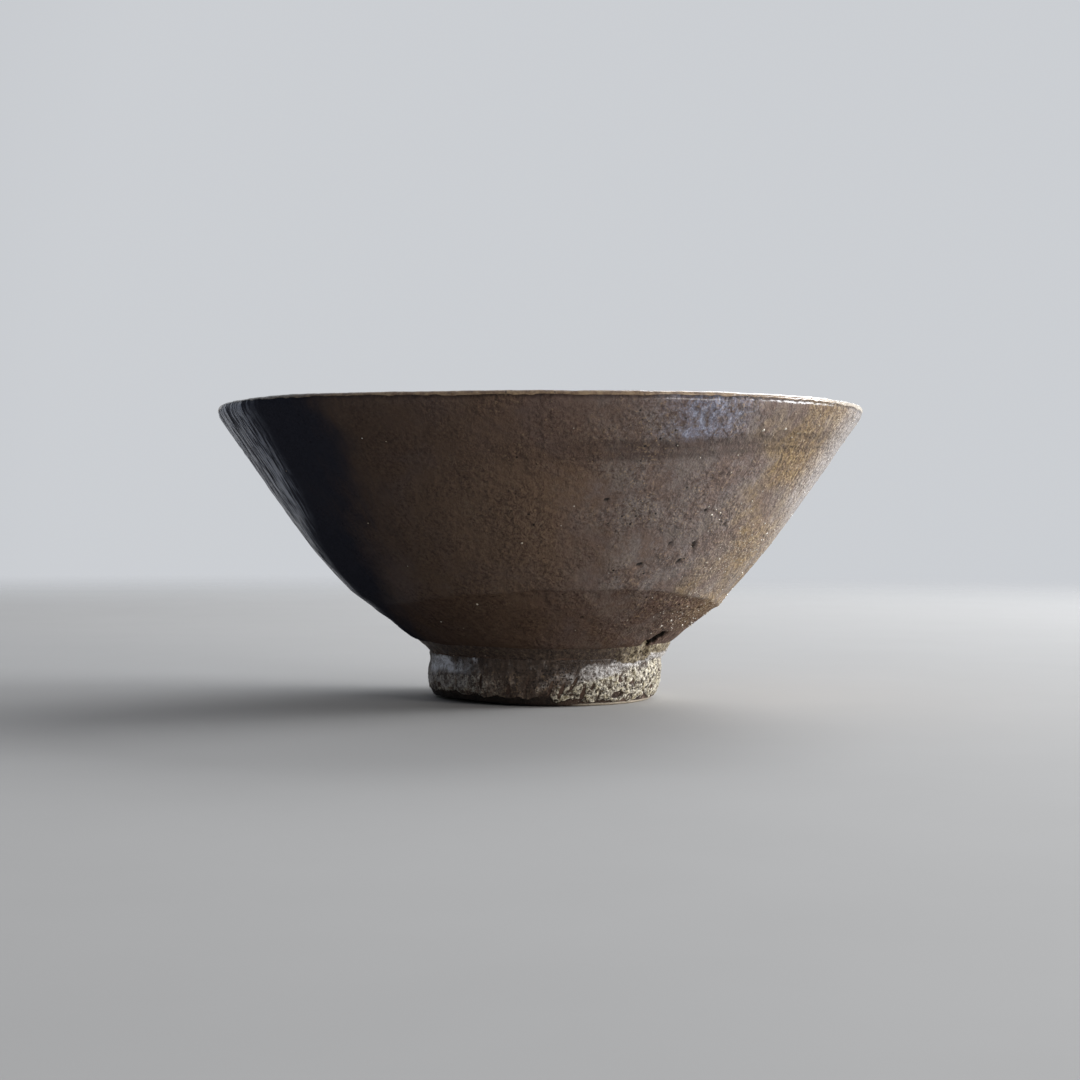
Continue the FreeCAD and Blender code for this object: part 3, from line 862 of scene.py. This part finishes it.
class Surface(Nodes):
    """A Principled material, built from patterns in object space, in millimetres."""

    def __init__(self, name, **settings):
        self.material = bpy.data.materials.new(name)
        self.material.use_nodes = True
        super().__init__(self.material.node_tree)
        self.shader = self.nodes["Principled BSDF"]
        self.shade(**settings)
        coordinates = self.add("TexCoord").outputs["Object"]
        self.mm = self.add("Mapping", Scale=(1 / MM, 1 / MM, 1 / MM), Vector=coordinates).outputs[0]

    def shade(self, **inputs):
        self.fill(self.shader, inputs)

    def times(self, a, b):
        return self.math("MULTIPLY", a, b)

    def down_the_wall(self, girth, squeeze):
        """Coordinates in which a round spot is a streak that runs down the wall."""
        flat = self.vector("MULTIPLY", self.mm, (1, 1, 0))
        around = self.vector("MULTIPLY", self.vector("NORMALIZE", flat), (girth, girth, 0))
        return self.vector("ADD", around, self.vector("MULTIPLY", self.mm, (0, 0, 1 / squeeze)))

    def noise(self, width, detail=3, roughness=0.55, vector=None, warp=0):
        """Perlin noise from about 0.25 to 0.75, with features about width mm wide."""
        look = {"Scale": 1 / width, "Detail": detail, "Roughness": roughness, "Distortion": warp}
        return self.add("TexNoise", Vector=vector or self.mm, **look).outputs["Fac"]

    def dots(self, spacing, vector):
        """Distance in mm from scattered points."""
        node = self.add("TexVoronoi", Scale=1 / spacing, Vector=vector)
        return self.times(node.outputs["Distance"], spacing)

    def warped(self, width, amount):
        """The coordinates shaken by noise, so that a pattern's edges are ragged."""
        shake = self.add("TexNoise", Scale=1 / width, Vector=self.mm).outputs["Color"]
        return self.vector("ADD", self.vector("MULTIPLY", shake, (amount, amount, amount)), self.mm)

    def ramp(self, value, low, high, start=0, end=1):
        """A smooth step: start below low, end above high."""
        node = self.add("MapRange")
        node.interpolation_type = "SMOOTHSTEP"
        for socket, given in zip(node.inputs, (value, low, high, start, end)):
            self.feed(socket, given)
        return node.outputs["Result"]

    def span(self, share, start, end):
        """start where a share is 0, end where it is 1."""
        return self.ramp(share, 0, 1, start, end)

    def axis(self, name):
        """A coordinate in mm: X, Y or Z."""
        return self.add("SeparateXYZ", Vector=self.mm).outputs[name]

    def stored(self, *names):
        """Numbers written on the mesh's vertices."""
        found = []
        for name in names:
            node = self.add("Attribute")
            node.attribute_name = name
            found.append(node.outputs["Fac"])
        return found

    def shaken(self, share, pattern, amount):
        return self.math("MULTIPLY_ADD", self.math("SUBTRACT", pattern, 0.5), 2 * amount, share)

    def broken(self, share, pattern, amount=0.5):
        """A share whose soft edge is broken up by a pattern."""
        return self.ramp(self.shaken(share, pattern, amount), 0.3, 0.7)

    def blurred(self, share, pattern, amount=0.55):
        """A share that a pattern makes uneven, but whose soft edge stays soft."""
        return self.ramp(self.shaken(share, pattern, amount), 0, 1)

    def mix(self, share, a, b):
        """Colour a where share is 0, colour b where it is 1."""
        node = self.add("Mix", Factor=share)
        node.data_type = "RGBA"
        for socket, colour in zip(node.inputs[6:8], (a, b)):
            self.feed(socket, (*colour, 1) if isinstance(colour, tuple) else colour)
        return node.outputs[2]

    def cover(self, share, colour):
        """Lays a colour over the surface's colour so far, where share is 1."""
        self.colour = self.mix(share, self.colour, colour)

    def layer(self, share, strength, colour):
        """Covers with a colour: share says where, and strength how much of it shows."""
        self.cover(self.times(share, strength), colour)

    def mottled(self, pattern, dark, pale):
        return self.mix(self.ramp(pattern, 0.38, 0.62), dark, pale)

    def finish(self, pattern, roughness, heights):
        """roughness is a pair, and the pattern says where it is low or high. heights are (value,
        depth in mm) pairs, added up as the surface's fine relief."""
        total = None
        for value, depth in heights:
            layer = self.times(value, depth * MM)
            total = layer if total is None else self.math("ADD", total, layer)
        normal = self.add("Bump", Strength=1, Distance=1, Height=total).outputs["Normal"]
        uneven = self.ramp(pattern, 0.3, 0.7, *roughness)
        self.shade(Base_Color=self.colour, Roughness=uneven, Normal=normal)
        return self.material


def speckle(mat, spacing, radius, thin=0.5):
    """1 in scattered specks of about a radius, 0 elsewhere. Noise leaves some places bare."""
    spots = mat.dots(spacing, mat.warped(0.5, 0.25))
    size = mat.ramp(mat.noise(9), 0.5 - thin * 0.2, 0.62, 0.15 * radius, radius)
    return mat.ramp(mat.math("SUBTRACT", size, spots), -0.04, 0.08)


BROWN = (0.208, 0.134, 0.088)
PURPLE_BROWN = (0.196, 0.138, 0.117)
GREY_BROWN = (0.24, 0.2, 0.182)
RED_BROWN = (0.095, 0.056, 0.042)
OCHRE = (0.402, 0.27, 0.116)
LAVENDER = (0.33, 0.29, 0.285)
PALE_GOLD = (0.66, 0.54, 0.38)
UMBER = (0.262, 0.176, 0.1)
RIGHT_SHEEN_GREY = (0.56, 0.53, 0.53)
BLUE_BLACK = (0.029, 0.031, 0.042)
RIM_SHEEN_BLUE = (0.125, 0.152, 0.225)
BLUE_GREY = (0.25, 0.265, 0.36)
PALE_BLUE = (0.48, 0.51, 0.64)
TAN = (0.4, 0.275, 0.16)
CREAM = (0.62, 0.535, 0.42)
PALE_GREY = (0.84, 0.86, 0.92)
CLAY = (0.095, 0.058, 0.042)
DARK_CLAY = (0.03, 0.02, 0.016)
PIT = (0.006, 0.005, 0.004)


def outer_glaze():
    mat = Surface("outer_glaze", IOR=1.48, Specular_IOR_Level=0, Coat_Roughness=0.24)
    shade, painted_side_shade, painted_rim_sheen, ochre, haze_and_sheen = mat.stored("shade", "painted_side_shade", "painted_rim_sheen", "ochre", "haze_and_sheen")
    painted_right_sheen, streaky, crown, trimmed, painted_window_reflection = mat.stored("painted_right_sheen", "streaky", "crown", "trimmed", "painted_window_reflection")
    band, lines, edge, specks, scar = mat.stored("band", "lines", "edge", "specks", "scar")
    cloud = mat.noise(22, 4, 0.6, warp=0.6)
    patches = mat.noise(7, 6, 0.72)
    mottle = mat.noise(2.8, 4, 0.72)
    flecks = mat.noise(0.8, 4, 0.75)
    streaks = mat.noise(0.9, 3, 0.65, mat.down_the_wall(60, 7))
    strokes = mat.noise(1.5, 4, 0.75, mat.warped(4, 5))
    mat.colour = mat.mix(mat.ramp(cloud, 0.42, 0.72), BROWN, PURPLE_BROWN)
    # grey haze on the right: partly the glaze's tone, partly painted sheen
    hazy_sheen_colour = mat.mottled(patches, PURPLE_BROWN, GREY_BROWN)
    mat.cover(mat.blurred(haze_and_sheen, patches, 0.9), hazy_sheen_colour)
    gold = mat.mottled(mottle, UMBER, OCHRE)
    mat.layer(mat.blurred(ochre, patches, 0.9), 0.9, gold)
    # painted sheen along the lit right silhouette
    mat.layer(mat.blurred(painted_right_sheen, mottle, 0.4), 0.68, RIGHT_SHEEN_GREY)
    mat.layer(crown, 0.42, RED_BROWN)
    mat.layer(band, 0.42, RED_BROWN)
    # painted reflection of the window: blue-grey and pale blue strokes
    mat.layer(painted_window_reflection, mat.ramp(strokes, 0.36, 0.56, 0.15, 0.85), BLUE_GREY)
    mat.layer(painted_window_reflection, mat.ramp(strokes, 0.52, 0.64, 0, 0.9), PALE_BLUE)
    pallid = mat.ramp(mat.noise(3.6, 5, 0.75), 0.52, 0.68, 0, 0.5)
    pallid = mat.times(pallid, mat.span(ochre, 1, 0.45))
    mat.layer(pallid, mat.ramp(haze_and_sheen, 0.2, 1, 0, 0.9), LAVENDER)
    rubbed = mat.ramp(haze_and_sheen, 0.2, 1, 0.24, 0.66)
    mat.layer(mat.blurred(trimmed, mottle), rubbed, RED_BROWN)
    shaded = mat.ramp(strokes, 0.46, 0.32, 0, 0.65)
    mat.layer(shaded, mat.span(haze_and_sheen, 0.3, 1), RED_BROWN)
    busy = mat.ramp(mat.noise(9, 4, 0.6), 0.36, 0.6, 0.3, 1)
    pebbles = mat.times(mat.noise(1.6, 2, 0.5, warp=0.3), busy)
    busy = mat.math("MAXIMUM", busy, ochre)
    mat.layer(mat.ramp(flecks, 0.54, 0.38, 0, 0.78), busy, RED_BROWN)
    glints = mat.times(mat.ramp(flecks, 0.55, 0.67, 0, 0.95), busy)
    glint = mat.mix(ochre, TAN, PALE_GOLD)
    mat.layer(glints, mat.span(haze_and_sheen, 0.2, 0.8), glint)
    grooves = mat.times(mat.ramp(streaks, 0.34, 0.5, 0.55, 0), streaky)
    mat.cover(grooves, RED_BROWN)
    mat.layer(lines, 0.42, DARK_CLAY)
    mat.layer(mat.ramp(edge, 1, 0.1), 0.55, DARK_CLAY)
    # painted shade, darker towards the left
    mat.layer(painted_side_shade, 0.58, DARK_CLAY)
    # painted shade: the dim left side goes blue-black
    mat.layer(mat.blurred(shade, streaks, 0.25), 0.98, BLUE_BLACK)
    # painted reflection: bluish streaks along the left silhouette, which also get a glossy coat
    rim_sheen_streaks = mat.times(painted_rim_sheen, mat.ramp(streaks, 0.42, 0.58, 0.05, 1))
    mat.layer(rim_sheen_streaks, 0.95, RIM_SHEEN_BLUE)
    # 1 away from the painted side shade and low inside it, so that specks fade there
    light = mat.ramp(painted_side_shade, 0.1, 0.8, 1, 0.05)
    pale = mat.times(speckle(mat, 2.1, 0.34, 0.8), light)
    fine = mat.times(speckle(mat, 0.95, 0.17, 0.9), light)
    mat.layer(pale, 0.3, TAN)
    mat.layer(fine, mat.span(haze_and_sheen, 0.15, 0.8), TAN)
    sparks = mat.ramp(mat.noise(0.42, 2, 0.6), 0.58, 0.66)
    mat.layer(mat.times(sparks, specks), 0.85, CREAM)
    pits = speckle(mat, 2.6, 0.3, 0.7)
    mat.layer(pits, mat.ramp(painted_side_shade, 0.2, 0.8, 0.85, 0.25), PIT)
    pores = mat.times(speckle(mat, 1.3, 0.17, 0.85), light)
    mat.layer(pores, mat.span(haze_and_sheen, 0.1, 0.8), PIT)
    # gashes go near-black: partly the dark clay in them, partly painted shade in the hollows
    mat.layer(mat.ramp(scar, 0.1, 0.5), 0.95, PIT)
    gloss = mat.times(mat.span(haze_and_sheen, 0.35, 0.9), mat.span(trimmed, 1, 0.1))
    gloss = mat.times(gloss, mat.ramp(shade, 0, 0.8, 1, 0.02))
    gloss = mat.times(gloss, mat.span(ochre, 1, 0.45))
    gloss = mat.math("MULTIPLY_ADD", rim_sheen_streaks, 1, gloss)
    gloss = mat.math("MAXIMUM", gloss, mat.span(painted_right_sheen, 0, 0.7))
    mat.shade(Coat_Weight=gloss)
    grain = mat.noise(0.55, 3, 0.6)
    furrows = mat.times(streaks, streaky)
    heights = [(grain, 0.32), (pebbles, 1.2), (furrows, 0.25), (pale, 0.08), (sparks, 0.04), (pits, -0.25)]
    return mat.finish(mat.noise(12, 5, 0.65), (0.34, 0.5), heights)


def lip_glaze():
    mat = Surface("lip_glaze", IOR=1.5, Coat_Weight=0.5, Coat_Roughness=0.15)
    shade, painted_right_sheen = mat.stored("shade", "painted_right_sheen")
    mat.colour = mat.mottled(mat.noise(2.2, 4, 0.7), (0.2, 0.125, 0.075), TAN)
    # painted shade on the left of the lip, painted highlight on its right
    mat.layer(shade, 0.85, (0.06, 0.05, 0.04))
    mat.layer(painted_right_sheen, 0.9, CREAM)
    mat.layer(speckle(mat, 1.2, 0.24, 0.9), 0.8, DARK_CLAY)
    mat.layer(speckle(mat, 1.7, 0.25, 0.9), 0.5, CREAM)
    grain = mat.noise(0.6, 3, 0.6)
    return mat.finish(mat.noise(3, 4), (0.24, 0.42), [(grain, 0.12), (mat.noise(1.9), 0.12)])


def inner_glaze():
    mat = Surface("inner_glaze", IOR=1.5, Specular_IOR_Level=0.4, Coat_Weight=0.35, Coat_Roughness=0.14)
    height = mat.axis("Z")
    across = mat.axis("X")
    cloud = mat.noise(30, 4, 0.55, warp=0.6)
    mottle = mat.noise(4.5, 4, 0.68)
    flecks = mat.noise(1.2, 3, 0.7)
    streaks = mat.noise(1.6, 3, 0.65, mat.down_the_wall(60, 9))
    mat.colour = mat.mottled(cloud, BROWN, PURPLE_BROWN)
    mat.cover(mat.ramp(mottle, 0.44, 0.66, 0, 0.45), GREY_BROWN)
    warm = mat.ramp(mat.math("MULTIPLY_ADD", cloud, 70, across), 35, 100)
    mat.layer(mat.blurred(warm, mottle, 0.8), 0.55, OCHRE)
    mat.cover(mat.ramp(streaks, 0.34, 0.52, 0.45, 0), RED_BROWN)
    mat.cover(mat.ramp(flecks, 0.36, 0.56, 0.45, 0), RED_BROWN)
    mat.cover(mat.ramp(height, 24, 18.5, 0, 0.55), (0.1, 0.095, 0.062))
    pale = speckle(mat, 2.3, 0.32, 0.8)
    mat.layer(pale, 0.7, TAN)
    pits = speckle(mat, 3.6, 0.26, 0.6)
    mat.layer(pits, 0.85, PIT)
    grain = mat.noise(0.8, 3, 0.55)
    peel = mat.noise(2.4, 3, 0.6)
    heights = [(grain, 0.07), (peel, 0.16), (pits, -0.18), (pale, 0.04)]
    return mat.finish(mat.noise(10, 5, 0.65), (0.24, 0.4), heights)


def foot_glaze():
    mat = Surface("foot_glaze", IOR=1.48, Specular_IOR_Level=0.4)
    thickness, crust, smear, even_top = mat.stored("coat_thickness", "crust", "smear", "even_top")
    streaks = mat.noise(1.2, 4, 0.7, mat.down_the_wall(27, 4))
    flecks = mat.noise(0.8, 4, 0.78)
    skin = mat.mix(mat.ramp(streaks, 0.42, 0.6), (0.048, 0.031, 0.023), (0.25, 0.185, 0.142))
    skin = mat.mix(mat.ramp(flecks, 0.51, 0.64, 0, 0.7), skin, TAN)
    # painted shade: the skin darkens towards the top of the foot, under the bowl
    skin = mat.mix(mat.ramp(mat.axis("Z"), 5.5, 8.8, 0, 0.7), skin, (0.052, 0.035, 0.027))
    rough = mat.mottled(flecks, (0.11, 0.075, 0.042), (0.94, 0.86, 0.69))
    plain = mat.mottled(flecks, (0.24, 0.205, 0.18), (0.7, 0.66, 0.63))
    yellowed = mat.ramp(mat.noise(1.4), 0.5, 0.6, 0, 0.35)
    rough = mat.mix(yellowed, rough, (0.66, 0.56, 0.32))
    cream = mat.mix(mat.blurred(even_top, flecks, 0.6), rough, plain)
    lumps = mat.noise(2, 5, 0.75)
    crusty = mat.mix(even_top, mat.broken(crust, flecks, 0.8), mat.blurred(crust, lumps, 1))
    mat.colour = mat.mix(crusty, skin, cream)
    slanted = mat.noise(1.2, 4, 0.75, mat.warped(5, 6))
    mat.layer(smear, mat.ramp(slanted, 0.34, 0.58, 0.3, 1), PALE_GREY)
    mat.cover(mat.ramp(thickness, 0.02, 0.22, 0.9, 0), (0.075, 0.048, 0.033))
    left = mat.ramp(mat.axis("X"), -6, -17)
    left = mat.times(left, mat.ramp(mat.axis("Z"), 7.6, 6))
    mat.layer(mat.ramp(flecks, 0.5, 0.6, 0, 0.9), left, (0.56, 0.53, 0.46))
    crevices = mat.noise(0.48, 3, 0.8)
    deep = mat.times(mat.ramp(crevices, 0.48, 0.36), mat.span(smear, 1, 0.3))
    mat.layer(deep, mat.span(even_top, 0.9, 0.45), (0.07, 0.045, 0.028))
    pits = speckle(mat, 0.8, 0.25, 0.9)
    mat.layer(pits, 0.9, DARK_CLAY)
    grain = mat.noise(0.3, 3, 0.7)
    heights = [(grain, 0.16), (flecks, 0.24), (deep, -0.24), (pits, -0.18)]
    return mat.finish(mat.noise(2, 4), (0.4, 0.65), heights)


def fired_clay():
    """Bare clay. The foot's lowest edge has a pale cream tinge on the right, and painted shadow under its
    lifted left.
    """
    mat = Surface("fired_clay", IOR=1.45, Specular_IOR_Level=0.3)
    mat.colour = mat.mottled(mat.noise(5, 4, 0.7), DARK_CLAY, CLAY)
    mat.cover(mat.ramp(mat.noise(0.7, 3, 0.7), 0.45, 0.66, 0, 0.5), (0.2, 0.14, 0.1))
    low = mat.times(mat.ramp(mat.axis("Z"), 0.85, 0.45), mat.ramp(mat.axis("X"), 4, 12))
    mat.layer(mat.broken(low, mat.noise(1.5), 0.5), 0.8, CREAM)
    grit = speckle(mat, 1.2, 0.2, 0.9)
    mat.layer(grit, 0.7, CREAM)
    # painted shadow: near-black on the clay's lowest left, under the foot's lifted edge
    under = mat.times(mat.ramp(mat.axis("Z"), 3.2, 1.6), mat.ramp(mat.axis("X"), 12, -4))
    mat.layer(under, 0.85, PIT)
    heights = [(mat.noise(0.4, 3, 0.7), 0.15), (mat.noise(1.6), 0.2), (grit, 0.06)]
    return mat.finish(mat.noise(2), (0.72, 0.92), heights)


def slip_clay():
    mat = Surface("slip", IOR=1.45, Specular_IOR_Level=0.3)
    mat.colour = mat.mottled(mat.noise(2, 4, 0.7), CLAY, (0.24, 0.17, 0.12))
    return mat.finish(mat.noise(2), (0.7, 0.9), [(mat.noise(0.5, 3, 0.7), 0.05)])


def coil_clay():
    mat = Surface("coil_clay", IOR=1.48, Specular_IOR_Level=0.35)
    proud, crust = mat.stored("proud", "crust")
    flecks = mat.noise(0.8, 4, 0.78)
    # dark where smoothed on the left: partly the coil's own colour, partly painted shade on the dim side
    smoothed = mat.mottled(flecks, (0.04, 0.026, 0.02), (0.115, 0.078, 0.055))
    bare = mat.mottled(flecks, (0.06, 0.04, 0.024), (0.4, 0.33, 0.215))
    mat.colour = mat.mix(mat.blurred(proud, mat.noise(1.2, 5, 0.75), 1.2), smoothed, bare)
    pale = mat.mottled(flecks, (0.4, 0.36, 0.33), (0.72, 0.69, 0.67))
    mat.layer(mat.broken(crust, flecks, 0.8), 0.9, pale)
    pits = speckle(mat, 0.9, 0.24, 0.9)
    mat.layer(pits, 0.9, DARK_CLAY)
    heights = [(flecks, 0.22), (mat.noise(0.3, 3, 0.7), 0.1), (pits, -0.16)]
    return mat.finish(mat.noise(2), (0.45, 0.7), heights)


def feldspar():
    mat = Surface("feldspar", IOR=1.52, Coat_Weight=1, Coat_Roughness=0.08)
    mat.colour = mat.mottled(mat.noise(0.4), (0.45, 0.34, 0.21), (0.86, 0.8, 0.69))
    return mat.finish(mat.noise(0.5), (0.25, 0.45), [(mat.noise(0.2), 0.05)])


# ---- studio and camera, in metres


CAMERA_DISTANCE = 0.477
CAMERA_HEIGHT = 0.0433
CAMERA_LENS = 66.9
CAMERA_PITCH = math.radians(-0.73)
CAMERA_ROLL = math.radians(0.27)
FLOOR_SIZE = 1.6
FLOOR_FADE = (420, 1000)  # in mm, as its material is
BRIGHT_SIDE = (0.4, 0.92, 0)
DAYLIGHT = (0.93, 0.96, 1)
WARM_LIGHT = (1, 0.96, 0.9)


def make_camera():
    camera = bpy.data.cameras.new("camera")
    camera.sensor_width = 36
    camera.lens = CAMERA_LENS
    camera.clip_start = 0.01
    holder = add_object("camera", camera)
    holder.location = (0, -CAMERA_DISTANCE, CAMERA_HEIGHT)
    level = Euler((math.pi / 2 + CAMERA_PITCH, 0, 0)).to_matrix()
    holder.rotation_euler = (level @ Euler((0, 0, CAMERA_ROLL)).to_matrix()).to_euler()
    bpy.context.scene.camera = holder


def area_light(name, place, target, size, power, colour):
    light = bpy.data.lights.new(name, "AREA")
    light.shape = "RECTANGLE"
    light.size, light.size_y = size
    light.energy = power
    light.color = colour
    holder = add_object(name, light)
    holder.location = place
    holder.rotation_euler = (Vector(target) - Vector(place)).to_track_quat("-Z", "Y").to_euler()


def make_world():
    """A pale surround: brighter behind and on the right, dimmer and bluer in front and on the left."""
    world = bpy.data.worlds.new("surround")
    world.use_nodes = True
    bpy.context.scene.world = world
    sky = Nodes(world.node_tree)
    direction = sky.add("TexCoord").outputs["Generated"]
    side = sky.measure("DOT_PRODUCT", direction, BRIGHT_SIDE)
    ramp = sky.add("ValToRGB", Fac=sky.math("MULTIPLY_ADD", side, 0.5, 0.5))
    stops = ramp.color_ramp.elements
    stops[0].position, stops[0].color = 0.15, (0.17, 0.18, 0.2, 1)
    stops[1].position, stops[1].color = 0.9, (0.6, 0.62, 0.65, 1)
    stops.new(0.55).color = (0.25, 0.265, 0.3, 1)
    sky.fill(sky.nodes["Background"], {"Color": ramp.outputs["Color"]})


def make_floor():
    """A pale floor that fades into the surround, so that no horizon shows."""
    mesh = bpy.data.meshes.new("floor")
    corners = [(x * FLOOR_SIZE, y * FLOOR_SIZE, 0) for x, y in ((-1, -1), (1, -1), (1, 1), (-1, 1))]
    mesh.from_pydata(corners, [], [(0, 1, 2, 3)])
    floor = add_object("floor", mesh)
    mat = Surface("floor", Roughness=0.8, Specular_IOR_Level=0.2)
    tone = mat.mix(mat.noise(40), (0.44, 0.43, 0.415), (0.47, 0.46, 0.445))
    seen = mat.ramp(mat.measure("LENGTH", mat.mm), *FLOOR_FADE, 1, 0)
    mat.shade(Base_Color=tone, Alpha=seen)
    mesh.materials.append(mat.material)


def main():
    scene = bpy.context.scene
    scene.view_settings.view_transform = "Standard"
    make_camera()
    make_world()
    make_floor()
    area_light("window", (1.25, 0.3, 0.42), (0, 0, 0.04), (0.65, 0.6), 24, DAYLIGHT)
    area_light("window_behind", (0.45, 0.85, 0.75), (0, 0, 0.05), (0.6, 0.5), 7, DAYLIGHT)
    area_light("front_fill", (0.95, -0.75, 0.3), (0, 0, 0.04), (0.5, 0.4), 5, WARM_LIGHT)
    clay = fired_clay()
    make_outer_coat(outer_glaze())
    make_lip(lip_glaze())
    make_inner_coat(inner_glaze())
    make_clay(clay)
    make_foot(clay, foot_glaze())
    make_coil(coil_clay())
    make_grains(feldspar())
    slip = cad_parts["joint_slip"]
    slip.data.materials.clear()
    slip.data.materials.append(slip_clay())


main()
